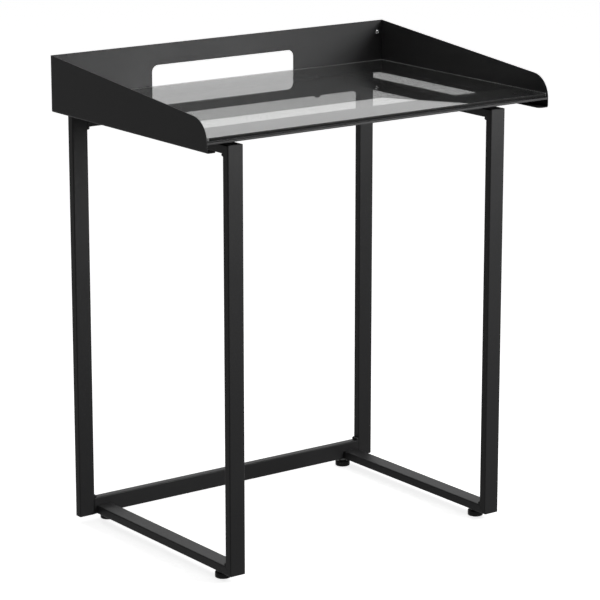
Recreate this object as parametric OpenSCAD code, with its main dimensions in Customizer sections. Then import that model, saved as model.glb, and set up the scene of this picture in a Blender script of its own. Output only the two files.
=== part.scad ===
// Compact glass-top table. A tray of folded sheet steel with a raised border on three sides
// holds a loose glass sheet. The tray is screwed to a tube frame: a rear frame of two posts
// and two crossbars, and a C-shaped frame on each side. Four glides carry it.
// +Z is up, the user sits on the -Y side, and the origin is the middle of the footprint
// on the floor.

/* [Tray] */
// Width of the tray over its side panels
tray_w = 700; // [620:1:860]
// Depth of the tray
tray_d = 458; // [400:1:600]
// Height of the border at the back, from the tray's underside
border_rear_h = 96; // [80:1:140]
// Height that the border slopes down to at the front, before the corner is rounded
border_front_h = 51; // [48:1:70]
// Radius of the rounded front corner of each side panel
border_corner_r = 40; // [20:1:46]
// Thickness of the folded steel sheet
sheet_t = 1.2; // [0.8:0.1:2]
// Width of the flanges folded in along the tray's underside
flange_w = 20; // [14:1:24]
// Depth of the shelf that carries the front of the glass
shelf_d = 90; // [60:1:120]
// Height of the shelf's front lip
lip_h = 4; // [3:0.5:12]

/* [Cable slot] */
// Width of the cable slot in the back panel
slot_w = 300; // [150:1:400]
// Height of the cable slot
slot_h = 42; // [25:1:50]
// Radius of the slot's upper corners
slot_r = 12; // [5:1:20]

/* [Glass] */
// Thickness of the glass
glass_t = 5; // [4:0.5:8]
// Gap between the glass and the side panels
glass_gap = 1.8; // [1:0.1:4]
// Gap between the glass and the back panel, which clears the heads of the corner screws
glass_rear_gap = 3.2; // [2.6:0.1:8]
// Corner radius of the glass
glass_r = 5; // [2:1:20]
// Thickness of the clear bumpers under the glass
bumper_h = 1.8; // [1:0.1:3]
// Height of the surfaces that carry the bumpers, from the tray's underside
rest_h = 17.5; // [14:0.5:24]

/* [Frame] */
// Height of the frame, without the glides
frame_h = 716; // [600:1:800]
// Wide side of the rectangular tube
tube_w = 30; // [25:1:40]
// Narrow side of the rectangular tube
tube_n = 15; // [14:1:20]
// Wall of the tube
tube_wall = 1.2; // [1:0.1:2]
// Outer corner radius of the tube
tube_r = 2; // [1.5:0.5:3]
// Distance from the middle plane to the middle of a rear post
rear_post_x = 305; // [295:1:330]
// Distance from the middle plane to the middle of a side frame
side_frame_x = 270.5; // [240:0.5:271]
// Distance from the tray's front edge to the front posts
front_setback = 36; // [10:1:60]
// Leg of the weld fillets
weld_leg = 4; // [2:0.5:6]

/* [Glides] */
// Diameter of a glide's foot
glide_d = 27; // [22:1:27]
// Height of a glide's foot
glide_h = 10; // [8:1:14]
// Diameter of a glide's stud
stud_d = 8; // [6:1:8]
// Distance from the middle plane to a rear glide
rear_glide_x = 258.5; // [200:0.5:258.5]
// Distance from the tray's front edge to the front glides
front_glide_setback = 79; // [75:1:140]

/* [Hidden] */
$fn = 48;
eps = 0.01;

// Glides: foot, lock nut and the flange of the threaded insert stack up under the tube
lock_nut_h = 3;
lock_nut_af = 13;
insert_flange_h = 1;
insert_flange_r = 8;
insert_r = 5.5;
insert_len = 10;
stud_reach = 12;
foot_edge_r = 1.5;
fit_gap = 0.05;
tube_z = glide_h + lock_nut_h + insert_flange_h;

// Levels
tray_z = tube_z + frame_h;
rest_z = tray_z + rest_h;
glass_z = rest_z + bumper_h;
border_z = tray_z + border_rear_h;

// Depth: the rear frame stands 1 mm inside the tray's rear face, and the feet of the rear
// glides reach as far behind the middle as the tray reaches in front of it
rear_inset = 1;
glide_overhang = (glide_d - tube_n) / 2 - rear_inset;
front_y = -(tray_d + glide_overhang) / 2;
rear_y = front_y + tray_d;
rear_frame_y = rear_y - rear_inset - tube_n / 2;
back_in_y = rear_y - 2 * sheet_t;
front_post_y = front_y + front_setback + tube_n / 2;
rail_end_y = rear_frame_y - tube_n / 2;
front_glide_y = front_y + front_glide_setback;

// Sheet metal
side_in_x = tray_w / 2 - sheet_t;
bend_r = 1.6;
shelf_bend_r = 1;
shelf_rear_y = front_y + shelf_d;
shelf_return = 18;
rest_y = 149;
rest_w = 26;
rest_reach = 14;
flange_corner_r = 8;

// Fasteners
corner_screw_x = side_in_x - 11;
corner_screw_z = tray_z + 75;
corner_head_r = 4;
corner_head_h = 2.4;
corner_nut_h = 2;
rear_screw_x = 198;
front_screw_y = shelf_rear_y - 10;
tray_screw_r = 2.5;
rear_head_r = 5.5;
rear_head_h = 4.5;
front_head_r = 4.5;
front_head_h = 2.5;
tray_nut_h = 4;
bolt_r = 3;
bolt_head_r = 5.25;
bolt_head_h = 2.8;
bolt_len = 30;
block_len = 10;
bumper_r = 5;
bumpers = [
    [-300, front_y + 32], [0, front_y + 32], [300, front_y + 32],
    [-130, back_in_y - 20], [130, back_in_y - 20],
    [-(side_in_x - 7.5), rest_y], [side_in_x - 7.5, rest_y]
];

// ---- Shared shapes ----

// Rectangle w by h about the origin with round corners
module round_rect(w, h, r) {
    square([w - 2 * r, h], center = true);
    square([w, h - 2 * r], center = true);
    for (sx = [-1, 1], sy = [-1, 1])
        translate([sx * (w / 2 - r), sy * (h / 2 - r)]) circle(r);
}

// Hollow tube section, wide across X
module tube_section() {
    difference() {
        round_rect(tube_w, tube_n, tube_r);
        round_rect(tube_w - 2 * tube_wall, tube_n - 2 * tube_wall, tube_r - tube_wall);
    }
}

// Upright tube, wide across X, from z0 to z1
module upright(x, y, z0, z1) {
    translate([x, y, z0]) linear_extrude(z1 - z0) tube_section();
}

// Cylinder along Y, from y0 to y1
module y_cylinder(x, y0, y1, z, r) {
    translate([x, y1, z]) rotate([90, 0, 0]) cylinder(r = r, h = y1 - y0);
}

// Cylinder along Z, from z0 to z1
module z_cylinder(x, y, z0, z1, r) {
    translate([x, y, z0]) cylinder(r = r, h = z1 - z0);
}

// Hexagonal nut along Z with a bore
module hex_nut(x, y, z, across_flats, h, bore_r) {
    translate([x, y, z]) difference() {
        cylinder(d = across_flats / cos(30), h = h, $fn = 6);
        translate([0, 0, -1]) cylinder(r = bore_r, h = h + 2);
    }
}

// Copies its children to the left and the right side
module both_sides() {
    children();
    mirror([1, 0, 0]) children();
}

// Points of a quarter arc about c, from angle a0 to a1
function arc(c, r, a0, a1, n = 6) =
    [for (i = [0:n]) let (a = a0 + (a1 - a0) * i / n) c + r * [cos(a), sin(a)]];

// Section of a sheet folded once: it runs along +Y and then turns up to +Z, with its outer
// corner at the origin
module folded_edge(run, rise) {
    outer = bend_r + sheet_t;
    polygon(concat(
        [[run, 0], [run, sheet_t]],
        arc([outer, outer], bend_r, 270, 180),
        [[sheet_t, rise], [0, rise]],
        arc([outer, outer], outer, 180, 270)
    ));
}

// ---- Tray ----

// Outline of a side panel in the Y-Z plane, from the fold at its foot upwards
module side_outline() {
    slope = (border_rear_h - border_front_h) / tray_d;
    tilt = atan(slope);
    r = border_corner_r;
    centre = [front_y + r, tray_z + border_front_h + slope * r - r / cos(tilt)];
    polygon(concat(
        [[front_y, tray_z + bend_r + sheet_t]],
        arc(centre, r, 180, 90 + tilt, 16),
        [[rear_y, border_z], [rear_y, tray_z + bend_r + sheet_t]]
    ));
}

// Plan of a side panel's bottom flange, with its free front corner rounded
module side_flange_plan() {
    x0 = tray_w / 2 - flange_w;
    r = flange_corner_r;
    polygon(concat(
        [[tray_w / 2 + eps, rear_y + eps], [x0, rear_y + eps]],
        arc([x0 + r, front_y + r], r, 180, 270, 8),
        [[tray_w / 2 + eps, front_y]]
    ));
}

module side_panel() {
    return_w = 20;
    difference() {
        union() {
            translate([side_in_x, 0, 0]) rotate([90, 0, 90])
                linear_extrude(sheet_t) side_outline();
            intersection() {
                translate([tray_w / 2, rear_y, tray_z]) rotate([90, 0, 0]) linear_extrude(tray_d)
                    mirror([1, 0]) folded_edge(flange_w, bend_r + sheet_t + eps);
                translate([0, 0, tray_z - 1]) linear_extrude(10) side_flange_plan();
            }
            translate([tray_w / 2 - return_w, rear_y - sheet_t, tray_z + sheet_t - eps])
                cube([return_w - sheet_t + eps, sheet_t, border_rear_h - sheet_t - 2]);
        }
        y_cylinder(corner_screw_x, rear_y - 3 * sheet_t, rear_y + 1, corner_screw_z, 2.2);
    }
}

module right_panel() {
    color("#1d1d1f") side_panel();
}

module left_panel() {
    color("#1d1d1f") mirror([1, 0, 0]) side_panel();
}

// Outline of the cable slot in the X-Z plane: its upper corners are round, and its lower
// edge is the fold of the tab that was pressed forward out of it
module slot_outline() {
    polygon(concat(
        [[-slot_w / 2, 0], [slot_w / 2, 0]],
        arc([slot_w / 2 - slot_r, slot_h - slot_r], slot_r, 0, 90, 10),
        arc([slot_r - slot_w / 2, slot_h - slot_r], slot_r, 90, 180, 10)
    ));
}

module back_panel() {
    half_w = side_in_x - 0.1;
    flange_half = tray_w / 2 - flange_w - 1;
    outer_y = rear_y - sheet_t;
    color("#2a2a2c") difference() {
        union() {
            translate([-half_w, back_in_y, tray_z + bend_r + sheet_t])
                cube([2 * half_w, sheet_t, border_rear_h - bend_r - sheet_t]);
            translate([-flange_half, outer_y, tray_z]) rotate([90, 0, 90])
                linear_extrude(2 * flange_half) mirror([1, 0])
                    folded_edge(flange_w, bend_r + sheet_t + eps);
            translate([0, outer_y, rest_z - sheet_t]) mirror([0, 1, 0])
                linear_extrude(sheet_t) slot_outline();
        }
        translate([0, rear_y + 1, rest_z]) rotate([90, 0, 0])
            linear_extrude(2 * sheet_t + 2) slot_outline();
        both_sides() {
            y_cylinder(corner_screw_x, back_in_y - 1, rear_y, corner_screw_z, 2.2);
            z_cylinder(rear_screw_x, rear_frame_y, tray_z - 1, tray_z + 3, tray_screw_r + 0.2);
        }
    }
}

// Section of the front shelf in the Y-Z plane: a lip, the top that carries the glass, a rear
// wall down to the side rails and a foot that is turned forward on them
module shelf_section() {
    inner = shelf_bend_r;
    outer = shelf_bend_r + sheet_t;
    lip_fold = [front_y + outer, rest_z - outer];
    rear_fold = [shelf_rear_y - outer, rest_z - outer];
    foot_fold = [shelf_rear_y - outer, tray_z + outer];
    polygon(concat(
        [[front_y, rest_z - lip_h]],
        arc(lip_fold, outer, 180, 90),
        arc(rear_fold, outer, 90, 0),
        arc(foot_fold, outer, 0, -90),
        [[shelf_rear_y - shelf_return, tray_z], [shelf_rear_y - shelf_return, tray_z + sheet_t]],
        arc(foot_fold, inner, -90, 0),
        arc(rear_fold, inner, 0, 90),
        arc(lip_fold, inner, 90, 180),
        [[front_y + sheet_t, rest_z - lip_h]]
    ));
}

module front_shelf() {
    end_tab_h = 12;
    color("#1d1d1f") difference() {
        union() {
            translate([-side_in_x, 0, 0]) rotate([90, 0, 90])
                linear_extrude(2 * side_in_x) shelf_section();
            both_sides() translate([side_in_x - sheet_t, front_y + 8, rest_z - end_tab_h])
                cube([sheet_t, shelf_d - 16, end_tab_h - eps]);
        }
        both_sides() {
            translate([tray_w / 2 - flange_w - 1, shelf_rear_y - shelf_return - 1, tray_z - 1])
                cube([flange_w + 2, shelf_return + 2, 1 + sheet_t]);
            translate([side_in_x - bend_r - 0.5, shelf_rear_y - sheet_t - 1, tray_z])
                cube([bend_r + 1, sheet_t + 2, sheet_t + bend_r + 0.5]);
            z_cylinder(side_frame_x, front_screw_y, tray_z - 1, tray_z + 3, tray_screw_r + 0.2);
        }
    }
}

// Angle welded inside a side panel to carry the glass near the back
module glass_rest() {
    leg_h = 11;
    color("#1d1d1f") translate([side_in_x, rest_y - rest_w / 2, rest_z]) {
        translate([-rest_reach, 0, -sheet_t]) cube([rest_reach, rest_w, sheet_t]);
        translate([-sheet_t, 0, -leg_h]) cube([sheet_t, rest_w, leg_h]);
    }
}

module right_glass_rest() {
    glass_rest();
}

module left_glass_rest() {
    mirror([1, 0, 0]) glass_rest();
}

// Pan-head screws that hold the back panel's upper corners to the side panels' rear returns
module corner_screws() {
    color("silver") both_sides() {
        y_cylinder(corner_screw_x, back_in_y - eps, rear_y + corner_nut_h + 1, corner_screw_z, 2);
        translate([corner_screw_x, back_in_y, corner_screw_z]) rotate([90, 0, 0]) rotate_extrude()
            polygon([[0, 0], [corner_head_r, 0], [corner_head_r, 0.8], [corner_head_r - 0.4, 1.5],
                     [corner_head_r - 1.3, corner_head_h], [0, corner_head_h]]);
    }
}

// Clinch nuts in the rear returns
module corner_nuts() {
    color("silver") both_sides() difference() {
        y_cylinder(corner_screw_x, rear_y, rear_y + corner_nut_h, corner_screw_z, 4);
        y_cylinder(corner_screw_x, rear_y - 1, rear_y + corner_nut_h + 1, corner_screw_z, 2 + fit_gap);
    }
}

// ---- Glass ----

module glass_top() {
    glass_x = side_in_x - glass_gap;
    glass_front = front_y + 0.5;
    glass_rear = back_in_y - glass_rear_gap;
    color("#a8b8b4", 0.5) translate([0, (glass_front + glass_rear) / 2, glass_z])
        linear_extrude(glass_t) round_rect(2 * glass_x, glass_rear - glass_front, glass_r);
}

module glass_bumpers() {
    color("#e6e6e6", 0.6) for (at = bumpers)
        z_cylinder(at[0], at[1], rest_z, glass_z, bumper_r);
}

// ---- Rear frame ----

module rear_right_post() {
    color("#232325") upright(rear_post_x, rear_frame_y, tube_z, tray_z);
}

module rear_left_post() {
    color("#232325") mirror([1, 0, 0]) upright(rear_post_x, rear_frame_y, tube_z, tray_z);
}

// Crossbar with its wide side upright, from post to post, with holes for the frame bolts
module crossbar(z, bolt_z) {
    half = rear_post_x - tube_w / 2;
    difference() {
        translate([-half, rear_frame_y, z + tube_w / 2]) rotate([0, 90, 0])
            linear_extrude(2 * half) tube_section();
        both_sides()
            y_cylinder(side_frame_x, rail_end_y - 1, rail_end_y + tube_n + 1, bolt_z, bolt_r + 0.3);
        children();
    }
}

module upper_crossbar() {
    color("#232325") crossbar(tray_z - tube_w, tray_z - tube_n / 2) both_sides()
        z_cylinder(rear_screw_x, rear_frame_y, tray_z - tube_w - 1, tray_z + 1, tray_screw_r + 0.3);
}

module lower_crossbar() {
    color("#232325") crossbar(tube_z, tube_z + tube_n / 2) both_sides()
        z_cylinder(rear_glide_x, rear_frame_y, tube_z - 1, tube_z + tube_wall + 1, insert_r + 0.1);
}

// Section of a weld fillet in the corner of the positive quadrant
module fillet_section() {
    polygon(concat([[0, 0]], arc([weld_leg, weld_leg], weld_leg, 270, 180)));
}

// Fillets between the rear posts and the crossbars, along Y
module rear_frame_welds() {
    len = tube_n - 2 * tube_r;
    inner_x = rear_post_x - tube_w / 2;
    color("#232325") both_sides() {
        translate([inner_x, rear_frame_y + len / 2, tray_z - tube_w]) rotate([90, 0, 0])
            linear_extrude(len) rotate(180) fillet_section();
        translate([inner_x, rear_frame_y + len / 2, tube_z + tube_w]) rotate([90, 0, 0])
            linear_extrude(len) rotate(90) fillet_section();
    }
}

// Plastic plugs that close both ends of the rear posts, flush with the tube
module rear_post_plugs() {
    plug_h = 9;
    wide = tube_w - 2 * tube_wall - 0.2;
    narrow = tube_n - 2 * tube_wall - 0.2;
    color("#151515") both_sides() for (z = [tube_z, tray_z - plug_h])
        translate([rear_post_x, rear_frame_y, z])
            linear_extrude(plug_h) round_rect(wide, narrow, tube_r - tube_wall);
}

// ---- Side frames ----

// Outer face and inner face of the front posts, where the mitres start and end
post_out_y = front_post_y - tube_n / 2;
post_in_y = front_post_y + tube_n / 2;

// Block across the right side frame with the given outline in the Y-Z plane
module frame_block(outline) {
    translate([side_frame_x - tube_w, 0, 0]) rotate([90, 0, 90])
        linear_extrude(2 * tube_w) polygon(outline);
}

// Right side tube along Y with its middle at height z
module rail_tube(z) {
    translate([side_frame_x, post_out_y, z]) rotate([-90, 0, 0])
        linear_extrude(rail_end_y - post_out_y) tube_section();
}

module front_post() {
    color("#232325") intersection() {
        upright(side_frame_x, front_post_y, tube_z, tray_z);
        frame_block([[post_out_y, tube_z], [post_in_y, tube_z + tube_n],
                     [post_in_y, tray_z - tube_n], [post_out_y, tray_z]]);
    }
}

// Top rail, mitred to the front post, with holes for the screw that holds the front shelf
module top_rail() {
    color("#232325") difference() {
        intersection() {
            rail_tube(tray_z - tube_n / 2);
            frame_block([[post_out_y, tray_z], [post_in_y, tray_z - tube_n],
                         [rail_end_y, tray_z - tube_n], [rail_end_y, tray_z]]);
        }
        z_cylinder(side_frame_x, front_screw_y, tray_z - tube_n - 1, tray_z + 1, tray_screw_r + 0.3);
    }
}

// Bottom rail, mitred to the front post, with a hole for the glide's threaded insert
module bottom_rail() {
    color("#232325") difference() {
        intersection() {
            rail_tube(tube_z + tube_n / 2);
            frame_block([[post_out_y, tube_z], [post_in_y, tube_z + tube_n],
                         [rail_end_y, tube_z + tube_n], [rail_end_y, tube_z]]);
        }
        z_cylinder(side_frame_x, front_glide_y, tube_z - 1, tube_z + tube_wall + 1, insert_r + 0.1);
    }
}

// Fillets inside the corners of a side frame, along X
module side_frame_fillets() {
    len = tube_w - 2 * tube_r;
    color("#232325") translate([side_frame_x - len / 2, post_in_y, 0]) {
        translate([0, 0, tray_z - tube_n]) rotate([90, 0, 90])
            linear_extrude(len) rotate(-90) fillet_section();
        translate([0, 0, tube_z + tube_n]) rotate([90, 0, 90])
            linear_extrude(len) fillet_section();
    }
}

module right_front_post() {
    front_post();
}

module right_top_rail() {
    top_rail();
}

module right_bottom_rail() {
    bottom_rail();
}

module right_frame_welds() {
    side_frame_fillets();
}

module left_front_post() {
    mirror([1, 0, 0]) front_post();
}

module left_top_rail() {
    mirror([1, 0, 0]) top_rail();
}

module left_bottom_rail() {
    mirror([1, 0, 0]) bottom_rail();
}

module left_frame_welds() {
    mirror([1, 0, 0]) side_frame_fillets();
}

// Threaded steel blocks welded inside the rear ends of the rails
module rail_end_blocks() {
    wide = tube_w - 2 * tube_wall - 0.4;
    narrow = tube_n - 2 * tube_wall - 0.4;
    recess = 1;
    color("dimgray") both_sides() for (z = [tube_z + tube_n / 2, tray_z - tube_n / 2])
        difference() {
            translate([side_frame_x, rail_end_y - recess, z]) rotate([90, 0, 0])
                linear_extrude(block_len) round_rect(wide, narrow, 1);
            y_cylinder(side_frame_x, rail_end_y - block_len - 2, rail_end_y, z, bolt_r + fit_gap);
        }
}

// ---- Fasteners ----

// Screw along +Z from the underside of its head, with a low domed head below
module screw_up(r, len, head_r, head_h) {
    z_cylinder(0, 0, -eps, len, r);
    mirror([0, 0, 1]) rotate_extrude() polygon([
        [0, 0], [head_r, 0], [head_r, 0.35 * head_h], [0.9 * head_r, 0.7 * head_h],
        [0.6 * head_r, head_h], [0, head_h]
    ]);
}

// Bolts through the crossbars into the rails' threaded blocks
module frame_bolts() {
    color("dimgray") both_sides() for (z = [tube_z + tube_n / 2, tray_z - tube_n / 2])
        translate([side_frame_x, rear_frame_y + tube_n / 2, z]) rotate([90, 0, 0])
            screw_up(bolt_r, bolt_len, bolt_head_r, bolt_head_h);
}

// Screws up through the rear crossbar into the back panel's flange
module tray_rear_screws() {
    color("#1a1a1a") both_sides() translate([rear_screw_x, rear_frame_y, tray_z - tube_w])
        screw_up(tray_screw_r, tube_w + sheet_t + tray_nut_h + 1, rear_head_r, rear_head_h);
}

// Screws up through the side rails into the front shelf's foot
module tray_front_screws() {
    color("#1a1a1a") both_sides() translate([side_frame_x, front_screw_y, tray_z - tube_n])
        screw_up(tray_screw_r, tube_n + sheet_t + tray_nut_h + 1, front_head_r, front_head_h);
}

// Nuts of the tray screws
module tray_nuts() {
    nut_af = 8;
    color("#1a1a1a") both_sides() for (at = [[rear_screw_x, rear_frame_y], [side_frame_x, front_screw_y]])
        hex_nut(at[0], at[1], tray_z + sheet_t, nut_af, tray_nut_h, tray_screw_r + fit_gap);
}

// ---- Glides ----

// Copies its children to the places of the four glides
module at_glides() {
    both_sides() {
        translate([side_frame_x, front_glide_y, 0]) children();
        translate([rear_glide_x, rear_frame_y, 0]) children();
    }
}

// Threaded inserts pressed into the undersides of the tubes
module glide_inserts() {
    color("silver") at_glides() difference() {
        union() {
            z_cylinder(0, 0, tube_z - insert_flange_h, tube_z, insert_flange_r);
            z_cylinder(0, 0, tube_z - eps, tube_z + insert_len, insert_r);
        }
        z_cylinder(0, 0, tube_z - 5, tube_z + insert_len + 1, stud_d / 2 + fit_gap);
    }
}

// Thin nuts that lock the studs against the inserts
module glide_lock_nuts() {
    color("silver") at_glides()
        hex_nut(0, 0, glide_h, lock_nut_af, lock_nut_h, stud_d / 2 + fit_gap);
}

// Height inside the foot at which the stud starts
stud_seat_z = 4;

module glide_foot(x, y) {
    r = glide_d / 2;
    e = foot_edge_r;
    bore = stud_d / 2 + fit_gap;
    color("#141414") translate([x, y, 0]) rotate_extrude() polygon(concat(
        [[0, 0]],
        arc([r - e, e], e, 270, 360, 5),
        arc([r - e, glide_h - e], e, 0, 90, 5),
        [[bore, glide_h], [bore, stud_seat_z], [0, stud_seat_z]]
    ));
}

module glide_stud(x, y) {
    color("silver") z_cylinder(x, y, stud_seat_z, tube_z + stud_reach, stud_d / 2);
}

module front_left_glide_foot() {
    glide_foot(-side_frame_x, front_glide_y);
}

module front_right_glide_foot() {
    glide_foot(side_frame_x, front_glide_y);
}

module rear_left_glide_foot() {
    glide_foot(-rear_glide_x, rear_frame_y);
}

module rear_right_glide_foot() {
    glide_foot(rear_glide_x, rear_frame_y);
}

module front_left_glide_stud() {
    glide_stud(-side_frame_x, front_glide_y);
}

module front_right_glide_stud() {
    glide_stud(side_frame_x, front_glide_y);
}

module rear_left_glide_stud() {
    glide_stud(-rear_glide_x, rear_frame_y);
}

module rear_right_glide_stud() {
    glide_stud(rear_glide_x, rear_frame_y);
}

back_panel();
left_panel();
right_panel();
front_shelf();
left_glass_rest();
right_glass_rest();
corner_screws();
corner_nuts();
glass_top();
glass_bumpers();
rear_left_post();
rear_right_post();
upper_crossbar();
lower_crossbar();
rear_frame_welds();
rear_post_plugs();
left_front_post();
left_top_rail();
left_bottom_rail();
left_frame_welds();
right_front_post();
right_top_rail();
right_bottom_rail();
right_frame_welds();
rail_end_blocks();
frame_bolts();
tray_rear_screws();
tray_front_screws();
tray_nuts();
glide_inserts();
glide_lock_nuts();
front_left_glide_foot();
front_right_glide_foot();
rear_left_glide_foot();
rear_right_glide_foot();
front_left_glide_stud();
front_right_glide_stud();
rear_left_glide_stud();
rear_right_glide_stud();
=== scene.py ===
"""Finished look of a compact glass-top work table, laid out as a Blender add-on.

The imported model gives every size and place. The sheet parts, the tubes, their end plugs and
the glass are copies of its nodes with softened edges. Screws, nuts, inserts, bumpers, welds and
glides are built here.
"""

import math

import bmesh
import bpy
from bpy.props import FloatProperty, FloatVectorProperty, IntProperty, PointerProperty
from mathutils import Euler, Matrix, Vector


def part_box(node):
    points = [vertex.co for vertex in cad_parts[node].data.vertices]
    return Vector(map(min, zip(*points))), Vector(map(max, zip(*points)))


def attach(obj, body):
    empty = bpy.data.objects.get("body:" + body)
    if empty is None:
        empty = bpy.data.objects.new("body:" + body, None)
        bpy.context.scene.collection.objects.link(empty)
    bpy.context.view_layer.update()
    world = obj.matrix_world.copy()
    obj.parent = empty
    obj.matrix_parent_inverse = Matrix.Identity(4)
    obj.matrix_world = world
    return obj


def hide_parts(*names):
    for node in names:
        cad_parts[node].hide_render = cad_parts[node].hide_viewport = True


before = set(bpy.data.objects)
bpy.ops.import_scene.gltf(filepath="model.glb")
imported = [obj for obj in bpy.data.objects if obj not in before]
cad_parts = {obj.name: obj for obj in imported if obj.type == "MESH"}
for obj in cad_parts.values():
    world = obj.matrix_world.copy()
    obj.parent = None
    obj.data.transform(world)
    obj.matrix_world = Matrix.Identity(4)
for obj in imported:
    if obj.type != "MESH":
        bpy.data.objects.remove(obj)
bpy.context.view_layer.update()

bl_info = {
    "name": "Glass-top work table",
    "version": (1, 0, 0),
    "blender": (4, 5, 0),
    "location": "3D View > Sidebar > Table",
    "description": "Builds the finish, fasteners, glass and studio of a glass-top work table",
    "category": "Object",
}

FRAME_BODY = "table_frame"
GLASS_BODY = "glass"
SIDES = ("left", "right")
CORNERS = ("front_left", "front_right", "rear_left", "rear_right")

# Points closer than this are one point
MERGE = 1e-6
# Neighbouring faces turned by less than this are one flat face
FLAT = math.radians(0.6)
# Edges of coated parts that turn by more than this are rounded off
SHARP = math.radians(32.0)
# Edges of turned parts that turn by more than this keep a crease
CREASE = math.radians(35.0)


# ---- Sizes and colours that a user would change ----

class TableSizes(bpy.types.PropertyGroup):
    """Small sizes that only the finished look needs."""

    sheet_edge: FloatProperty(
        name="Sheet edge radius", description="Radius that the coating gives to cut sheet edges",
        default=0.00035, min=0.0001, max=0.0006, precision=5, unit="LENGTH")
    tube_edge: FloatProperty(
        name="Tube end radius", description="Radius of the cut tube ends and mitres",
        default=0.0004, min=0.0001, max=0.001, precision=5, unit="LENGTH")
    glass_arris: FloatProperty(
        name="Glass arris", description="Width of the bevel round the glass",
        default=0.0008, min=0.0003, max=0.002, precision=5, unit="LENGTH")
    bead_pitch: FloatProperty(
        name="Weld ripple pitch", description="Distance between the ripples of a weld bead",
        default=0.0014, min=0.001, max=0.004, precision=5, unit="LENGTH")
    bead_radius: FloatProperty(
        name="Weld bead radius", description="Radius of a weld bead across its path",
        default=0.0031, min=0.002, max=0.005, precision=5, unit="LENGTH")
    thread_pitch: FloatProperty(
        name="Thread pitch", description="Pitch of the thread on the glides' studs",
        default=0.00125, min=0.0008, max=0.002, precision=5, unit="LENGTH")
    round_sides: IntProperty(
        name="Sides of round parts", description="Number of sides of screws, nuts and glides",
        default=72, min=24, max=144, step=24)


class TableColours(bpy.types.PropertyGroup):
    """Colours of the finishes."""

    tray: FloatVectorProperty(
        name="Tray coat", description="Colour of the powder coat on the tray",
        default=(0.030, 0.030, 0.031), size=3, min=0, max=1, subtype="COLOR")
    tube: FloatVectorProperty(
        name="Tube coat", description="Colour of the powder coat on the frame",
        default=(0.026, 0.026, 0.027), size=3, min=0, max=1, subtype="COLOR")
    glass: FloatVectorProperty(
        name="Glass tint", description="Share of light that the tinted glass lets through",
        default=(0.62, 0.625, 0.62), size=3, min=0, max=1, subtype="COLOR")
    floor: FloatVectorProperty(
        name="Floor", description="Colour of the studio floor",
        default=(0.92, 0.92, 0.92), size=3, min=0, max=1, subtype="COLOR")


def sizes():
    return bpy.context.scene.table_sizes


def colours():
    return bpy.context.scene.table_colours


# ---- Node trees written as expressions ----

class Value:
    """An output socket that Python operators combine into Math nodes."""

    def __init__(self, graph, socket):
        self.graph = graph
        self.socket = socket

    def __add__(self, other):
        return self.graph.maths("ADD", self, other)

    def __radd__(self, other):
        return self.graph.maths("ADD", other, self)

    def __sub__(self, other):
        return self.graph.maths("SUBTRACT", self, other)

    def __rsub__(self, other):
        return self.graph.maths("SUBTRACT", other, self)

    def __mul__(self, other):
        return self.graph.maths("MULTIPLY", self, other)

    def __rmul__(self, other):
        return self.graph.maths("MULTIPLY", other, self)

class Made:
    """A node whose outputs are read by name as values."""

    def __init__(self, graph, node):
        self.graph = graph
        self.node = node

    def __getitem__(self, name):
        return Value(self.graph, find_socket(self.node.outputs, name))


def find_socket(sockets, name):
    """Socket by identifier, or else by name."""
    for socket in sockets:
        if socket.identifier == name:
            return socket
    return sockets[name]


class Graph:
    """A shader or geometry tree that nodes are added to."""

    def __init__(self, tree):
        self.tree = tree

    def add(self, kind, settings=None, inputs=None):
        """Adds a node: its settings first, then the values or links of its sockets."""
        node = self.tree.nodes.new(kind)
        for key, setting in (settings or {}).items():
            if key == "stops":
                self.set_stops(node.color_ramp, setting)
            else:
                setattr(node, key, setting)
        for key, given in (inputs or {}).items():
            socket = find_socket(node.inputs, key)
            if isinstance(given, Value):
                self.tree.links.new(given.socket, socket)
            else:
                socket.default_value = given
        return Made(self, node)

    @staticmethod
    def set_stops(ramp, stops):
        while len(ramp.elements) < len(stops):
            ramp.elements.new(1.0)
        for element, (place, shade) in zip(ramp.elements, stops):
            element.position = place
            element.color = (shade, shade, shade, 1.0)

    def maths(self, operation, first, second):
        node = self.tree.nodes.new("ShaderNodeMath")
        node.operation = operation
        for socket, given in zip(node.inputs, (first, second)):
            if isinstance(given, Value):
                self.tree.links.new(given.socket, socket)
            else:
                socket.default_value = given
        return Value(self, node.outputs[0])

    def noise(self, place, scale, detail=2.0, roughness=0.5):
        return self.add(
            "ShaderNodeTexNoise", {},
            {"Vector": place, "Scale": scale, "Detail": detail, "Roughness": roughness})["Fac"]

    def ramp(self, value, stops):
        return self.add("ShaderNodeValToRGB", {"stops": stops}, {"Fac": value})["Color"]

    def mix(self, factor, first, second):
        return self.add(
            "ShaderNodeMix", {"data_type": "RGBA"},
            {"Factor_Float": factor, "A_Color": first, "B_Color": second})["Result_Color"]

    def bump(self, height, distance, strength):
        return self.add(
            "ShaderNodeBump", {},
            {"Height": height, "Distance": distance, "Strength": strength})["Normal"]


# ---- Finishes ----

FINISHES = {}


def shaded(colour, factor):
    """The colour times a factor, with full alpha."""
    return tuple(min(1.0, part * factor) for part in colour[:3]) + (1.0,)


def finish(name):
    """Makes a finish once and gives it back each time after that."""
    if name not in FINISHES:
        material = bpy.data.materials.new(name)
        material.use_nodes = True
        material.node_tree.nodes.clear()
        FINISHES[name] = material
        FINISH_MAKERS[name](Graph(material.node_tree))
    return FINISHES[name]


def surface(graph, inputs):
    """Principled surface to the material's output."""
    shader = graph.add("ShaderNodeBsdfPrincipled", {}, inputs)["BSDF"]
    graph.add("ShaderNodeOutputMaterial", {}, {"Surface": shader})


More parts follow.
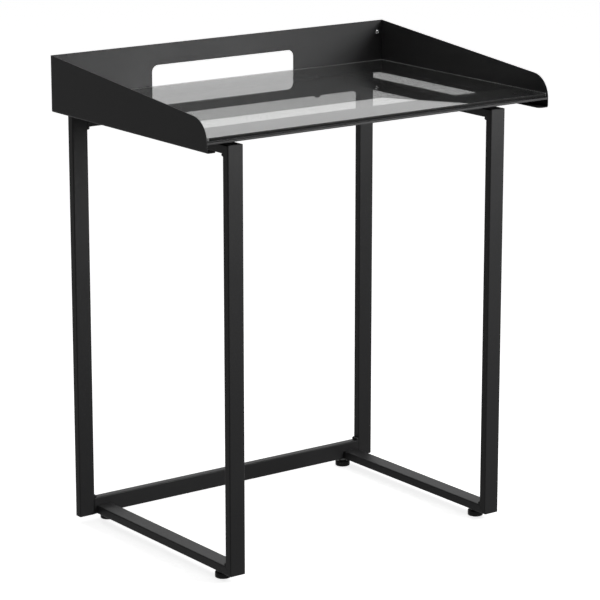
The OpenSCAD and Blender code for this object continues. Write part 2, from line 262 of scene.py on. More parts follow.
def powder_coat(graph, colour, roughness):
    """Matt powder coat: a fine leathery grain, slow blotches and small pale flecks."""
    place = graph.add("ShaderNodeTexCoord")["Object"]
    grain = graph.noise(place, 1100.0, 3.0, 0.6)
    orange_peel = graph.noise(place, 240.0, 2.0)
    blotch = graph.noise(place, 9.0, 3.0)
    flecks = graph.ramp(graph.noise(place, 620.0, 1.0), [(0.66, 0.0), (0.78, 1.0)])
    tone = graph.mix(blotch, shaded(colour, 0.86), shaded(colour, 1.14))
    tone = graph.mix(0.5 * flecks, tone, shaded(colour, 1.9))
    height = 0.7 * grain + 0.6 * orange_peel
    surface(graph, {
        "Base Color": tone,
        "Roughness": roughness + 0.10 * (grain - 0.5) + 0.05 * (blotch - 0.5),
        "IOR": 1.5,
        "Normal": graph.bump(height, 0.00020, 0.75),
    })


def tray_coat(graph):
    powder_coat(graph, colours().tray, 0.50)


def tube_coat(graph):
    powder_coat(graph, colours().tube, 0.46)


def tinted_glass(graph):
    """Polished float glass with a grey tint, a veil of dust and a trace of wiping marks."""
    place = graph.add("ShaderNodeTexCoord")["Object"]
    stretched = graph.add(
        "ShaderNodeMapping", {}, {"Vector": place, "Rotation": (0.0, 0.0, 0.35), "Scale": (3.0, 16.0, 1.0)})
    wipe = graph.ramp(graph.noise(stretched["Vector"], 1.6, 4.0, 0.6), [(0.45, 0.0), (0.8, 1.0)])
    tint = colours().glass
    surface(graph, {
        "Base Color": graph.mix(wipe, shaded(tint, 1.0), shaded(tint, 0.985)),
        "Roughness": 0.006 * wipe,
        "IOR": 1.52,
        "Transmission Weight": 0.975,
    })


def polished_edge(graph):
    """Front edge of the glass, painted nearly black: painted shade for the light that has a long way to go
    through the sheet.
    """
    place = graph.add("ShaderNodeTexCoord")["Object"]
    ground = graph.noise(place, 900.0, 2.0)
    tint = colours().glass
    surface(graph, {
        # Painted shade: a nearly black colour stands in for the dark look of the glass seen edge-on.
        "Base Color": graph.mix(ground, shaded(tint, 0.012), shaded(tint, 0.03)),
        "Roughness": 0.22 + 0.10 * ground,
        "IOR": 1.52,
        "Specular IOR Level": 0.25,
        "Normal": graph.bump(ground, 0.00004, 0.4),
    })


def seamed_edge(graph):
    """Rough-ground edges of the glass: a pale frosted colour, with a painted glow for the light that the
    sheet guides to them.
    """
    place = graph.add("ShaderNodeTexCoord")["Object"]
    ground = graph.noise(place, 1400.0, 3.0)
    tint = colours().glass
    surface(graph, {
        "Base Color": graph.mix(ground, shaded(tint, 0.55), shaded(tint, 0.85)),
        "Roughness": 0.45 + 0.2 * ground,
        "IOR": 1.52,
        # Painted light: a faint glow stands in for the light that reaches these edges through the sheet.
        "Emission Color": graph.mix(ground, shaded(tint, 0.8), shaded(tint, 1.2)),
        "Emission Strength": 0.12,
        "Normal": graph.bump(ground, 0.00005, 0.5),
    })


def clear_bumper(graph):
    """Clear soft plastic with a slightly cloudy body."""
    place = graph.add("ShaderNodeTexCoord")["Object"]
    cloud = graph.noise(place, 300.0, 2.0)
    surface(graph, {
        "Base Color": graph.mix(cloud, (0.80, 0.82, 0.80, 1.0), (0.92, 0.93, 0.92, 1.0)),
        "Roughness": 0.10 + 0.12 * cloud,
        "IOR": 1.46,
        "Transmission Weight": 0.97,
    })


def plated(graph, colour, roughness, scratch_scale):
    """Plated steel with fine turned marks and slow changes of gloss."""
    place = graph.add("ShaderNodeTexCoord")["Object"]
    marks = graph.noise(place, scratch_scale, 3.0, 0.65)
    cloud = graph.noise(place, 160.0, 2.0)
    surface(graph, {
        "Base Color": graph.mix(cloud, shaded(colour, 0.88), shaded(colour, 1.06)),
        "Metallic": 1.0,
        "Roughness": roughness + 0.12 * (marks - 0.5) + 0.05 * cloud,
        "Normal": graph.bump(marks, 0.00003, 0.35),
    })


def bright_chrome(graph):
    plated(graph, (0.90, 0.90, 0.91), 0.19, 2600.0)


def zinc_plate(graph):
    plated(graph, (0.60, 0.61, 0.60), 0.30, 1800.0)


def black_oxide(graph):
    """Black screws with a little of the steel showing through."""
    place = graph.add("ShaderNodeTexCoord")["Object"]
    marks = graph.noise(place, 2000.0, 3.0, 0.6)
    rub = graph.ramp(graph.noise(place, 420.0, 2.0), [(0.6, 0.0), (0.8, 1.0)])
    surface(graph, {
        "Base Color": graph.mix(0.5 * rub, (0.018, 0.018, 0.019, 1.0), (0.09, 0.088, 0.085, 1.0)),
        "Metallic": 0.55,
        "Roughness": 0.34 + 0.14 * marks,
        "Normal": graph.bump(marks, 0.00003, 0.4),
    })


def moulded_plastic(graph):
    """Black moulded plastic with a spark-eroded grain."""
    place = graph.add("ShaderNodeTexCoord")["Object"]
    grain = graph.noise(place, 1700.0, 3.0, 0.6)
    wear = graph.ramp(graph.noise(place, 90.0, 4.0), [(0.55, 0.0), (0.85, 1.0)])
    surface(graph, {
        "Base Color": graph.mix(0.5 * wear, (0.012, 0.012, 0.012, 1.0), (0.030, 0.030, 0.030, 1.0)),
        "Roughness": 0.42 + 0.16 * grain,
        "Normal": graph.bump(grain, 0.00006, 0.5),
    })


FINISH_MAKERS = {
    "tray_coat": tray_coat,
    "tube_coat": tube_coat,
    "tinted_glass": tinted_glass,
    "polished_edge": polished_edge,
    "seamed_edge": seamed_edge,
    "clear_bumper": clear_bumper,
    "bright_chrome": bright_chrome,
    "zinc_plate": zinc_plate,
    "black_oxide": black_oxide,
    "moulded_plastic": moulded_plastic,
}


# ---- Meshes ----

def new_object(name, mesh):
    piece = bpy.data.objects.new(name, mesh)
    bpy.context.scene.collection.objects.link(piece)
    return piece


def settle(piece, body, nodes):
    """Hangs a finished piece on its body and the nodes that it stands for."""
    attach(piece, body)
    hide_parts(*nodes)


def applied(piece):
    """Turns a piece with live modifiers into a plain mesh."""
    depsgraph = bpy.context.evaluated_depsgraph_get()
    mesh = bpy.data.meshes.new_from_object(piece.evaluated_get(depsgraph))
    piece.modifiers.clear()
    old = piece.data
    piece.data = mesh
    mesh.name = piece.name
    bpy.data.meshes.remove(old)
    return piece


def softened(node, name, radius, coat):
    """Copy of a node with its doubles merged, its sharp edges rounded and a finish on it."""
    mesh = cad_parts[node].data.copy()
    mesh.name = name
    work = bmesh.new()
    work.from_mesh(mesh)
    bmesh.ops.remove_doubles(work, verts=work.verts, dist=MERGE)
    bmesh.ops.dissolve_limit(
        work, angle_limit=FLAT, verts=work.verts, edges=work.edges, delimit={"NORMAL"})
    sharp = [edge for edge in work.edges if edge.calc_face_angle(0.0) > SHARP]
    bmesh.ops.bevel(
        work, geom=sharp, offset=radius, offset_type="OFFSET", segments=2, profile=0.5,
        affect="EDGES", clamp_overlap=True, harden_normals=False)
    work.to_mesh(mesh)
    work.free()
    if "custom_normal" in mesh.attributes:
        mesh.attributes.remove(mesh.attributes["custom_normal"])
    mesh.materials.clear()
    mesh.materials.append(finish(coat))
    mesh.shade_smooth()
    piece = new_object(name, mesh)
    flat = piece.modifiers.new("flat_faces", "WEIGHTED_NORMAL")
    flat.mode = "FACE_AREA"
    flat.weight = 100
    return applied(piece)


def ringed(name, rings, sides, coat, loop=False):
    """Closed mesh through rings about Z. A ring is (height, radius), where the radius is a
    number or a function of the angle. The ends are capped, or joined up when loop is set."""
    work = bmesh.new()
    angles = [math.tau * step / sides for step in range(sides)]
    circles = []
    for height, radius in rings:
        circle = []
        for angle in angles:
            reach = radius(angle) if callable(radius) else radius
            circle.append(work.verts.new((reach * math.cos(angle), reach * math.sin(angle), height)))
        circles.append(circle)
    pairs = list(zip(circles, circles[1:]))
    if loop:
        pairs.append((circles[-1], circles[0]))
    else:
        work.faces.new(circles[0])
        work.faces.new(circles[-1])
    for low, high in pairs:
        for step in range(sides):
            after = (step + 1) % sides
            work.faces.new((low[step], low[after], high[after], high[step]))
    bmesh.ops.recalc_face_normals(work, faces=work.faces)
    mesh = bpy.data.meshes.new(name)
    work.to_mesh(mesh)
    work.free()
    mesh.materials.append(finish(coat))
    mesh.shade_smooth()
    mesh.set_sharp_from_angle(angle=CREASE)
    return new_object(name, mesh)


def arc(centre_r, centre_z, radius, start, end, steps=6):
    """Rings (height, radius) of a rounded edge, by angle from the outward direction."""
    angles = [math.radians(start + (end - start) * step / steps) for step in range(steps + 1)]
    return [(centre_z + radius * math.sin(a), centre_r + radius * math.cos(a)) for a in angles]


def hexagon(across_flats):
    """Radius of a hexagon by angle."""
    def radius(angle):
        return across_flats / 2 / math.cos((angle + math.pi / 6) % (math.pi / 3) - math.pi / 6)
    return radius


def within(outline, limit):
    """The outline cut off by a circle."""
    return lambda angle: min(outline(angle), limit)


def cross(length, half_width):
    """Radius of a cross recess by angle."""
    def radius(angle):
        c, s = abs(math.cos(angle)) + 1e-9, abs(math.sin(angle)) + 1e-9
        along = min(length / c, half_width / s)
        across = min(length / s, half_width / c)
        return max(along, across)
    return radius


def scaled_outline(outline, factor):
    """The outline times a factor."""
    return lambda angle: outline(angle) * factor


def knurled(reach, depth, count):
    """Radius of a barrel with a number of shallow grooves, by angle."""
    return lambda angle: reach - depth * (1 + math.cos(count * angle)) / 2


def screw_rings(length, head_h, head_r, shank_r, chamfer):
    """Rings from a screw's tip to its head's rim, with the underside of the head at zero."""
    tip = head_h - length
    gap = 1e-5
    rim = 0.0001
    return [(tip, shank_r - chamfer), (tip + chamfer, shank_r), (-gap, shank_r),
            (0.0, head_r - rim), (2 * rim, head_r)]


# ---- Geometry Nodes ----

def geometry_tree(name, inputs):
    """Tree with a Geometry output and the named inputs, given as (name, socket type, default)."""
    tree = bpy.data.node_groups.new(name, "GeometryNodeTree")
    face = tree.interface
    face.new_socket("Geometry", in_out="OUTPUT", socket_type="NodeSocketGeometry")
    face.new_socket("Geometry", in_out="INPUT", socket_type="NodeSocketGeometry")
    for label, kind, default in inputs:
        socket = face.new_socket(label, in_out="INPUT", socket_type=kind)
        if default is not None:
            socket.default_value = default
    graph = Graph(tree)
    return graph, graph.add("NodeGroupInput")


def end_tree(graph, shape, coat):
    """Realized instances, the finish, and the way out."""
    real = graph.add("GeometryNodeRealizeInstances", {}, {"Geometry": shape})["Geometry"]
    painted = graph.add("GeometryNodeSetMaterial", {}, {"Geometry": real, "Material": coat})
    graph.add("NodeGroupOutput", {}, {"Geometry": painted["Geometry"]})
    return graph.tree


def run_tree(piece, tree, given):
    """Runs a tree on a piece with values for its named inputs and keeps the plain mesh."""
    modifier = piece.modifiers.new(tree.name, "NODES")
    modifier.node_group = tree
    for item in tree.interface.items_tree:
        if item.item_type == "SOCKET" and item.in_out == "INPUT" and item.name in given:
            modifier[item.identifier] = given[item.name]
    return applied(piece)


def repeat_tree():
    """Sets one shape on every point, turned as the point's own turn says."""
    graph, way_in = geometry_tree("set_on_points", [
        ("Shape", "NodeSocketObject", None), ("Finish", "NodeSocketMaterial", None)])
    shape = graph.add("GeometryNodeObjectInfo", {"transform_space": "ORIGINAL"},
                      {"Object": way_in["Shape"]})["Geometry"]
    turn = graph.add("GeometryNodeInputNamedAttribute", {"data_type": "FLOAT_VECTOR"},
                     {"Name": "turn"})["Attribute"]
    placed = graph.add("GeometryNodeInstanceOnPoints", {}, {
        "Points": way_in["Geometry"], "Instance": shape,
        "Rotation": graph.add("FunctionNodeEulerToRotation", {}, {"Euler": turn})["Rotation"]})
    return end_tree(graph, placed["Instances"], way_in["Finish"])


def bead_tree():
    """Lays overlapping ripples along the piece's edges, as a weld torch leaves them."""
    graph, way_in = geometry_tree("weld_bead", [
        ("Pitch", "NodeSocketFloat", 0.0014), ("Radius", "NodeSocketFloat", 0.003),
        ("Finish", "NodeSocketMaterial", None)])
    path = graph.add("GeometryNodeMeshToCurve", {}, {"Mesh": way_in["Geometry"]})["Curve"]
    steps = graph.add("GeometryNodeResampleCurve", {"mode": "LENGTH"},
                      {"Curve": path, "Length": way_in["Pitch"]})["Curve"]
    points = graph.add("GeometryNodeCurveToPoints", {"mode": "EVALUATED"}, {"Curve": steps})
    ripple = graph.add("GeometryNodeMeshUVSphere", {},
                       {"Segments": 16, "Rings": 9, "Radius": way_in["Radius"]})["Mesh"]
    uneven = graph.add("FunctionNodeRandomValue", {"data_type": "FLOAT"},
                       {"Min_001": 0.93, "Max_001": 1.04, "Seed": 7})["Value_001"]
    squeeze = graph.add("ShaderNodeCombineXYZ", {}, {"X": uneven, "Y": uneven, "Z": 0.62})
    placed = graph.add("GeometryNodeInstanceOnPoints", {}, {
        "Points": points["Points"], "Instance": ripple,
        "Rotation": points["Rotation"], "Scale": squeeze["Vector"]})
    polished = graph.add("GeometryNodeSetShadeSmooth", {}, {"Geometry": placed["Instances"]})
    return end_tree(graph, polished["Geometry"], way_in["Finish"])


def thread_tree():
    """Winds a ridge round the piece's core, so that a stud has a real thread."""
    graph, way_in = geometry_tree("stud_thread", [
        ("Pitch", "NodeSocketFloat", 0.00125), ("Turns", "NodeSocketFloat", 10.0),
        ("Length", "NodeSocketFloat", 0.02), ("Core", "NodeSocketFloat", 0.0033),
        ("Finish", "NodeSocketMaterial", None)])
    helix = graph.add("GeometryNodeCurveSpiral", {}, {
        "Resolution": 32, "Rotations": way_in["Turns"], "Start Radius": way_in["Core"],
        "End Radius": way_in["Core"], "Height": way_in["Length"]})["Curve"]
    ridge = graph.add("GeometryNodeCurvePrimitiveCircle", {},
                      {"Resolution": 3, "Radius": way_in["Pitch"] * 0.5})["Curve"]
    wound = graph.add("GeometryNodeCurveToMesh", {},
                      {"Curve": helix, "Profile Curve": ridge, "Fill Caps": True})["Mesh"]
    joined = graph.add("GeometryNodeJoinGeometry")
    for part in (way_in["Geometry"], wound):
        graph.tree.links.new(part.socket, joined.node.inputs[0])
    return end_tree(graph, joined["Geometry"], way_in["Finish"])


TREES = {}


def shared_tree(make):
    """Builds a geometry tree once and gives it back each time after that."""
    if make not in TREES:
        TREES[make] = make()
    return TREES[make]


def scatter(name, shape, places, coat):
    """One plain mesh with the shape at every place, given as (point, turn). The shape goes."""
    mesh = bpy.data.meshes.new(name)
    mesh.from_pydata([point for point, _ in places], [], [])
    turns = mesh.attributes.new("turn", "FLOAT_VECTOR", "POINT")
    for index, (_, turn) in enumerate(places):
        turns.data[index].vector = turn
    piece = run_tree(
        new_object(name, mesh), shared_tree(repeat_tree), {"Shape": shape, "Finish": finish(coat)})
    bpy.data.objects.remove(shape)
    return piece


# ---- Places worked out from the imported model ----

def middle(node):
    low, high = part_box(node)
    return (low + high) / 2


def island_boxes(node):
    """(lowest corner, highest corner) of each separate solid of a node, sorted by place."""
    work = bmesh.new()
    work.from_mesh(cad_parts[node].data)
    bmesh.ops.remove_doubles(work, verts=work.verts, dist=MERGE)
    left = set(work.verts)
    boxes = []
    while left:
        queue = [left.pop()]
        found = list(queue)
        while queue:
            for edge in queue.pop().link_edges:
                for vert in edge.verts:
                    if vert in left:
                        left.remove(vert)
                        queue.append(vert)
                        found.append(vert)
        places = [vert.co.copy() for vert in found]
        low = Vector([min(place[axis] for place in places) for axis in range(3)])
        high = Vector([max(place[axis] for place in places) for axis in range(3)])
        boxes.append((low, high))
    work.free()
    return sorted(boxes, key=lambda pair: tuple(round(part, 5) for part in pair[0]))


def standing(boxes):
    """(point, turn) for a shape that stands upright on the floor of each box."""
    upright = (0.0, 0.0, 0.0)
    return [(((low.x + high.x) / 2, (low.y + high.y) / 2, low.z), upright) for low, high in boxes]


# ---- Operators ----

class TABLE_OT_stage(bpy.types.Operator):
    """Pale floor, soft studio light and the camera"""

    bl_idname = "table.stage"
    bl_label = "Stage"

    def execute(self, context):
        scene = context.scene
        self.add_floor()
        self.add_world(scene)
        self.add_lights()
        self.add_camera(scene)
        scene.view_settings.view_transform = "Standard"
        return {"FINISHED"}

    @staticmethod
    def add_floor():
        half = 40.0
        mesh = bpy.data.meshes.new("studio_floor")
        mesh.from_pydata([(-half, -half, 0), (half, -half, 0), (half, half, 0), (-half, half, 0)], [],
                         [(0, 1, 2, 3)])
        floor = new_object("studio_floor", mesh)
        material = bpy.data.materials.new("studio_floor")
        material.use_nodes = True
        material.node_tree.nodes.clear()
        graph = Graph(material.node_tree)
        place = graph.add("ShaderNodeTexCoord")["Object"]
        haze = graph.noise(place, 0.6, 2.0)
        white = colours().floor
        surface(graph, {
            "Base Color": graph.mix(haze, shaded(white, 0.99), shaded(white, 1.0)),
            "Roughness": 0.9,
            "Specular IOR Level": 0.1,
            "Emission Color": (1.0, 1.0, 1.0, 1.0),
            "Emission Strength": 0.80,
        })
        mesh.materials.append(material)
        floor.visible_diffuse = False
        floor.visible_glossy = False

    @staticmethod
    def add_world(scene):
        """Bright behind the table, dim at its sides and in front, with a lift from below."""
        world = bpy.data.worlds.new("studio")
        world.use_nodes = True
        world.node_tree.nodes.clear()
        graph = Graph(world.node_tree)
        away = (0.593, 0.805, 0.0)
        direction = graph.add("ShaderNodeTexCoord")["Generated"]
        behind = graph.add("ShaderNodeVectorMath", {"operation": "DOT_PRODUCT"},
                           {"Vector": direction, "Vector_001": away})["Value"]
        height = graph.add("ShaderNodeSeparateXYZ", {}, {"Vector": direction})["Z"]
        glow = graph.ramp(0.5 * behind + 0.5, [(0.45, 0.095), (0.70, 0.10), (0.925, 0.80)])
        lift = graph.ramp(0.5 - 0.5 * height, [(0.50, 0.0), (0.80, 0.17)])
        light = graph.add("ShaderNodeBackground", {}, {"Color": glow + lift, "Strength": 1.0})
        graph.add("ShaderNodeOutputWorld", {}, {"Surface": light["Background"]})
        scene.world = world

    @staticmethod
    def add_lights():
        target = middle("glass_top")
        softboxes = (
            ("key_softbox", (0.85, -1.45, 0.30), 0.5, 0.5, 16.0),
            ("top_softbox", (0.1, -0.1, 2.9), 2.2, 2.2, 30.0),
        )
        for name, offset, width, height, power in softboxes:
            light = bpy.data.lights.new(name, "AREA")
            light.shape = "RECTANGLE"
            light.size = width
            light.size_y = height
            light.energy = power
            lamp = new_object(name, light)
            lamp.location = target + Vector(offset)
            lamp.rotation_euler = Vector(offset).to_track_quat("Z", "Y").to_euler()
            lamp.visible_camera = False

    @staticmethod
    def add_camera(scene):
        lens = bpy.data.cameras.new("camera")
        lens.lens = 164.5
        lens.sensor_width = 36.0
        lens.clip_end = 100.0
        camera = new_object("camera", lens)
        camera.location = (-2.703, -3.668, 1.541)
        camera.rotation_euler = Euler((math.radians(75.93), 0.0, math.radians(-36.38)))
        scene.camera = camera


class TABLE_OT_tray(bpy.types.Operator):
    """Coated sheet parts of the tray: panels, front shelf and glass rests"""

    bl_idname = "table.tray"
    bl_label = "Tray"

    def execute(self, context):
        for node in ("back_panel", "left_panel", "right_panel", "front_shelf",
                     "left_glass_rest", "right_glass_rest"):
            piece = softened(node, "coated_" + node, sizes().sheet_edge, "tray_coat")
            settle(piece, FRAME_BODY, [node])
        return {"FINISHED"}


class TABLE_OT_glass(bpy.types.Operator):
    """Tinted glass sheet, polished along the front edge and seamed round the others"""

    bl_idname = "table.glass"
    bl_label = "Glass"

    def execute(self, context):
        piece = softened("glass_top", "glass_sheet", sizes().glass_arris, "tinted_glass")
        mesh = piece.data
        mesh.materials.append(finish("polished_edge"))
        mesh.materials.append(finish("seamed_edge"))
        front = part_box("glass_top")[0].y + sizes().glass_arris
        level = 0.99
        # Front edge faces take the finish painted with shade; the other edges take the seamed finish with
        # its painted glow.
        for polygon in mesh.polygons:
            if abs(polygon.normal.z) < level:
                polygon.material_index = 1 if polygon.center.y < front else 2
        settle(piece, GLASS_BODY, ["glass_top"])
        return {"FINISHED"}


class TABLE_OT_bumpers(bpy.types.Operator):
    """Clear tapered bumpers that the glass lies on"""

    bl_idname = "table.bumpers"
    bl_label = "Bumpers"

    def execute(self, context):
        boxes = island_boxes("glass_bumpers")
        low, high = boxes[0]
        radius = (high.x - low.x) / 2
        height = high.z - low.z
        edge = 0.35 * height
        rings = [(0.0, radius - 0.0002), (0.0003, radius), (0.3 * height, radius)]
        rings += arc(radius - height, height - edge, edge, 0, 90)
        shape = ringed("bumper", rings, sizes().round_sides, "clear_bumper")
        piece = scatter("clear_bumpers", shape, standing(boxes), "clear_bumper")
        settle(piece, FRAME_BODY, ["glass_bumpers"])
        return {"FINISHED"}


class TABLE_OT_rear_frame(bpy.types.Operator):
    """Posts, crossbars and end plugs of the rear frame"""

    bl_idname = "table.rear_frame"
    bl_label = "Rear frame"

    def execute(self, context):
        for node in ("rear_left_post", "rear_right_post", "upper_crossbar", "lower_crossbar"):
            piece = softened(node, "coated_" + node, sizes().tube_edge, "tube_coat")
            settle(piece, FRAME_BODY, [node])
        plugs = softened("rear_post_plugs", "moulded_post_plugs", sizes().tube_edge, "moulded_plastic")
        settle(plugs, FRAME_BODY, ["rear_post_plugs"])
        return {"FINISHED"}


class TABLE_OT_side_frames(bpy.types.Operator):
    """Front posts and rails of the two side frames, and the blocks inside them"""

    bl_idname = "table.side_frames"
    bl_label = "Side frames"

    def execute(self, context):
        for side in SIDES:
            for part in ("front_post", "top_rail", "bottom_rail"):
                node = f"{side}_{part}"
                piece = softened(node, "coated_" + node, sizes().tube_edge, "tube_coat")
                settle(piece, FRAME_BODY, [node])
        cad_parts["rail_end_blocks"].material_slots[0].material = finish("zinc_plate")
        return {"FINISHED"}


class TABLE_OT_welds(bpy.types.Operator):
    """Rippled weld beads in the corners of the frames"""

    bl_idname = "table.welds"
    bl_label = "Welds"

    def execute(self, context):
        for node in ("rear_frame_welds", "left_frame_welds", "right_frame_welds"):
            self.add_beads(node)
        return {"FINISHED"}

    @staticmethod
    def add_beads(node):
        """A bead along the corner that each fillet fills, from one end of the fillet to the other."""
        set_in = 0.6 * sizes().bead_radius
        frame_low, frame_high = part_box(node)
        half_way = (frame_low.z + frame_high.z) / 2
        verts, edges = [], []
        for low, high in island_boxes(node):
            centre = (low + high) / 2
            z = high.z - set_in if centre.z > half_way else low.z + set_in
            if node == "rear_frame_welds":
                x = high.x - set_in if centre.x > 0 else low.x + set_in
                ends = [(x, low.y, z), (x, high.y, z)]
            else:
                y = low.y + set_in
                ends = [(low.x, y, z), (high.x, y, z)]
            edges.append((len(verts), len(verts) + 1))
            verts += ends
        mesh = bpy.data.meshes.new(node)
        mesh.from_pydata(verts, edges, [])
        path = new_object(node.replace("frame_welds", "weld_beads"), mesh)
        piece = run_tree(path, shared_tree(bead_tree), {
            "Pitch": sizes().bead_pitch, "Radius": sizes().bead_radius, "Finish": finish("tube_coat")})
        settle(piece, FRAME_BODY, [node])


class TABLE_OT_screws(bpy.types.Operator):
    """Cross-recessed corner screws, frame bolts and tray screws"""

    bl_idname = "table.screws"
    bl_label = "Screws"

    def execute(self, context):
        self.add_corner_screws()
        self.add_socket_screws("frame_bolts", "y", 0.0028, 0.003, 0.004)
        self.add_socket_screws("tray_rear_screws", "z", 0.0045, 0.0025, 0.004)
        self.add_socket_screws("tray_front_screws", "z", 0.0025, 0.0025, 0.003)
        return {"FINISHED"}

    @staticmethod
    def add_corner_screws():
        """Pan heads that face the user, with a recess of four arms."""
        boxes = island_boxes("corner_screws")
        low, high = boxes[0]
        head_r = (high.x - low.x) / 2
        length = high.y - low.y
        head_h, shank_r, chamfer = 0.0024, 0.002, 0.0004
        shoulder, shoulder_top = 0.0005, 0.00095
        flat_r = 0.55 * head_r
        crown_r = 2.4 * head_r
        crown_reach = head_r - 0.0003 - flat_r
        arm = cross(0.95 * flat_r, 0.25 * flat_r)
        arm_depth, recess_depth, recess_tip = 0.0012, 0.0016, 0.0003
        rings = screw_rings(length, head_h, head_r, shank_r, chamfer)
        rings += arc(head_r - shoulder, head_h - shoulder_top, shoulder, 0, 68, 5)
        for step in (4, 3, 2, 1, 0):
            reach = flat_r + step * crown_reach / 5
            rings.append((head_h - (reach * reach - flat_r * flat_r) / (2 * crown_r), reach))
        rings += [(head_h, arm), (head_h - arm_depth, scaled_outline(arm, 0.62)),
                  (head_h - recess_depth, recess_tip)]
        shape = ringed("corner_screw", rings, sizes().round_sides, "bright_chrome")
        places = []
        for index, (low, high) in enumerate(boxes):
            spin = math.radians(17 + 31 * index)
            point = ((low.x + high.x) / 2, low.y + head_h, (low.z + high.z) / 2)
            places.append((point, (math.radians(90), spin, 0.0)))
        piece = scatter("corner_pan_screws", shape, places, "bright_chrome")
        settle(piece, FRAME_BODY, ["corner_screws"])

    @staticmethod
    def add_socket_screws(node, axis, head_h, shank_r, key):
        """Domed heads with a hexagon socket, facing back where axis is y and down where it is z."""
        boxes = island_boxes(node)
        low, high = boxes[0]
        length = (high.y - low.y) if axis == "y" else (high.z - low.z)
        head_r = (high.x - low.x) / 2
        socket = hexagon(key)
        chamfer, band = 0.0005, 0.0006
        mouth, wall_end, drill_end, drill_tip = 0.0003, 0.0015, 0.0017, 0.0004
        rings = screw_rings(length, head_h, head_r, shank_r, chamfer)
        for degrees in range(0, 91, 18):
            a = math.radians(degrees)
            rings.append((band + (head_h - band) * math.sin(a), head_r - 0.48 * head_r * (1 - math.cos(a))))
        rings += [(head_h, scaled_outline(socket, 1.06)), (head_h - mouth, socket),
                  (head_h - wall_end, socket), (head_h - drill_end, drill_tip)]
        shape = ringed(node + "_shape", rings, sizes().round_sides, "black_oxide")
        places = []
        for index, (low, high) in enumerate(boxes):
            spin = math.radians(11 + 23 * index)
            centre = (low + high) / 2
            if axis == "y":
                places.append(((centre.x, high.y - head_h, centre.z), (math.radians(-90), spin, 0.0)))
            else:
                places.append(((centre.x, centre.y, low.z + head_h), (math.radians(180), 0.0, spin)))
        piece = scatter("socket_" + node, shape, places, "black_oxide")
        settle(piece, FRAME_BODY, [node])


class TABLE_OT_nuts(bpy.types.Operator):
    """Clinch nuts, tray nuts, lock nuts and threaded inserts"""

    bl_idname = "table.nuts"
    bl_label = "Nuts and inserts"

    def execute(self, context):
        self.add_clinch_nuts()
        self.add_hex_nuts("tray_nuts", 0.0025, "black_oxide", "black_screw")
        self.add_hex_nuts("glide_lock_nuts", 0.004, "zinc_plate", "zinc_steel")
        self.add_inserts()
        return {"FINISHED"}

    @staticmethod
    def add_clinch_nuts():
        boxes = island_boxes("corner_nuts")
        low, high = boxes[0]
        radius, height = (high.x - low.x) / 2, high.y - low.y
        bore, edge = 0.00205, 0.0004
        rings = [(0.0, bore), (0.0, radius)] + arc(radius - edge, height - edge, edge, 0, 90, 3)
        rings += [(height, bore + edge), (height - edge, bore)]
        shape = ringed("clinch_nut", rings, sizes().round_sides, "zinc_plate", loop=True)
        places = [(((low.x + high.x) / 2, low.y, (low.z + high.z) / 2), (math.radians(-90), 0, 0))
                  for low, high in boxes]
        piece = scatter("clinch_nuts", shape, places, "zinc_plate")
        settle(piece, FRAME_BODY, ["corner_nuts"])

    @staticmethod
    def add_hex_nuts(node, shank_r, coat, slot):
        """Hexagons with both ends turned to a chamfer, and countersunk bores."""
        boxes = island_boxes(node)
        low, high = boxes[0]
        height = high.z - low.z
        flats = high.y - low.y
        bore = shank_r + 0.00005
        sink = 0.0004
        outline = hexagon(flats)
        end_face = within(outline, 0.475 * flats)
        turned = within(outline, 0.54 * flats)
        chamfer = 0.12 * height
        rings = [(0.0, bore + sink), (0.0, end_face), (chamfer, turned), (2 * chamfer, outline),
                 (height - 2 * chamfer, outline), (height - chamfer, turned), (height, end_face),
                 (height, bore + sink), (height - sink, bore), (sink, bore)]
        shape = ringed(node + "_shape", rings, sizes().round_sides, coat, loop=True)
        piece = scatter("chamfered_" + node, shape, standing(boxes), coat)
        settle(piece, FRAME_BODY, [node])

    @staticmethod
    def add_inserts():
        """Flanged bushes with a knurled barrel that grips the tube."""
        boxes = island_boxes("glide_inserts")
        low, high = boxes[0]
        flange_r = (high.x - low.x) / 2
        length = high.z - low.z
        flange_h, barrel_r, bore = 0.001, 0.0055, 0.00405
        edge, sink, taper = 0.0003, 0.0004, 0.0006
        plain_end, knurl_start, knurl_end = flange_h + 0.0014, flange_h + 0.0016, length - 0.0008
        knurl = knurled(barrel_r, 0.00018, 24)
        rings = [(0.0, bore + edge), (0.0, flange_r - edge), (edge, flange_r), (flange_h, flange_r),
                 (flange_h, barrel_r), (plain_end, barrel_r), (knurl_start, knurl), (knurl_end, knurl),
                 (length, barrel_r - taper), (length, bore), (sink, bore)]
        shape = ringed("insert", rings, 2 * sizes().round_sides, "zinc_plate", loop=True)
        piece = scatter("flanged_inserts", shape, standing(boxes), "zinc_plate")
        settle(piece, FRAME_BODY, ["glide_inserts"])


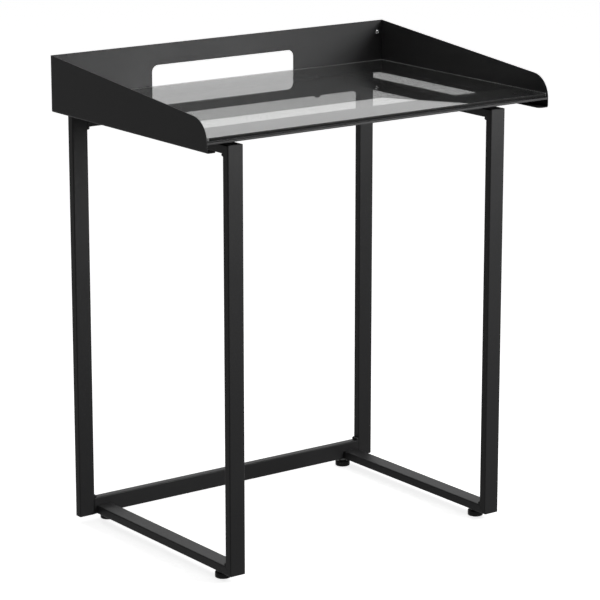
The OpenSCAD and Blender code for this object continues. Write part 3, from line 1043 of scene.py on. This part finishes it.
class TABLE_OT_glides(bpy.types.Operator):
    """Moulded feet and threaded studs of the four glides"""

    bl_idname = "table.glides"
    bl_label = "Glides"

    def execute(self, context):
        for corner in CORNERS:
            self.add_foot(corner)
            self.add_stud(corner)
        return {"FINISHED"}

    @staticmethod
    def add_foot(corner):
        """Round foot with a contact ring, a parting line, and a collar in its sunk top."""
        node = corner + "_glide_foot"
        low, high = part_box(node)
        centre = (low + high) / 2
        radius, height = (high.x - low.x) / 2, high.z - low.z
        edge, bore, line = 0.0018, 0.00405, 0.00012
        sunk, middle_r = 0.0006, 0.0025
        ring_inner, ring_outer = radius - 0.0045, radius - 0.0039
        parting = 0.52 * height
        collar_foot, collar_top = bore + 0.0011, bore + 0.0006
        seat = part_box(corner + "_glide_stud")[0].z
        rings = [(sunk, middle_r), (sunk, ring_inner), (0.0, ring_outer), (0.0, radius - edge)]
        rings += arc(radius - edge, edge, edge, -75, 0, 5)
        rings += [(parting, radius), (parting + line, radius - line), (parting + 2 * line, radius)]
        rings += arc(radius - edge, height - edge, edge, 0, 90)
        rings += [(height, 0.62 * radius), (height - sunk, 0.55 * radius), (height - sunk, collar_foot),
                  (height, collar_top), (height, bore), (seat, bore)]
        piece = ringed(corner + "_moulded_foot", rings, sizes().round_sides, "moulded_plastic")
        piece.data.transform(Matrix.Translation((centre.x, centre.y, 0.0)))
        settle(piece, corner + "_glide", [node])

    @staticmethod
    def add_stud(corner):
        """Core with a wound thread from the foot to the far end."""
        node = corner + "_glide_stud"
        low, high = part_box(node)
        centre = (low + high) / 2
        radius, length = (high.x - low.x) / 2, high.z - low.z
        pitch = sizes().thread_pitch
        core = radius - 0.75 * pitch
        foot_end, far_end = 0.0004, 0.0006
        rings = [(0.0, core - foot_end), (foot_end, core),
                 (length - far_end, core), (length, core - far_end)]
        piece = ringed(corner + "_threaded_stud", rings, sizes().round_sides, "zinc_plate")
        wound = length - 2 * pitch
        piece.data.transform(Matrix.Translation((0.0, 0.0, -pitch)))
        run_tree(piece, shared_tree(thread_tree), {
            "Pitch": pitch, "Turns": wound / pitch, "Length": wound, "Core": radius - 0.5 * pitch,
            "Finish": finish("zinc_plate")})
        piece.data.transform(Matrix.Translation((centre.x, centre.y, low.z + pitch)))
        settle(piece, corner + "_glide", [node])


OPERATORS = (
    TABLE_OT_stage, TABLE_OT_tray, TABLE_OT_glass, TABLE_OT_bumpers, TABLE_OT_rear_frame,
    TABLE_OT_side_frames, TABLE_OT_welds, TABLE_OT_screws, TABLE_OT_nuts, TABLE_OT_glides,
)


class TABLE_PT_panel(bpy.types.Panel):
    """Lists the sizes, the colours and the steps that build the table"""

    bl_idname = "TABLE_PT_panel"
    bl_label = "Glass-top work table"
    bl_space_type = "VIEW_3D"
    bl_region_type = "UI"
    bl_category = "Table"

    def draw(self, context):
        for group in (context.scene.table_sizes, context.scene.table_colours):
            box = self.layout.box()
            for key in group.__annotations__:
                box.prop(group, key)
        column = self.layout.column()
        for operator in OPERATORS:
            column.operator(operator.bl_idname)


CLASSES = (TableSizes, TableColours) + OPERATORS + (TABLE_PT_panel,)


def register():
    for kind in CLASSES:
        bpy.utils.register_class(kind)
    bpy.types.Scene.table_sizes = PointerProperty(type=TableSizes)
    bpy.types.Scene.table_colours = PointerProperty(type=TableColours)


def unregister():
    del bpy.types.Scene.table_colours
    del bpy.types.Scene.table_sizes
    for kind in reversed(CLASSES):
        bpy.utils.unregister_class(kind)


def main():
    register()
    bpy.ops.table.stage()
    bpy.ops.table.tray()
    bpy.ops.table.glass()
    bpy.ops.table.bumpers()
    bpy.ops.table.rear_frame()
    bpy.ops.table.side_frames()
    bpy.ops.table.welds()
    bpy.ops.table.screws()
    bpy.ops.table.nuts()
    bpy.ops.table.glides()


if __name__ == "__main__":
    main()
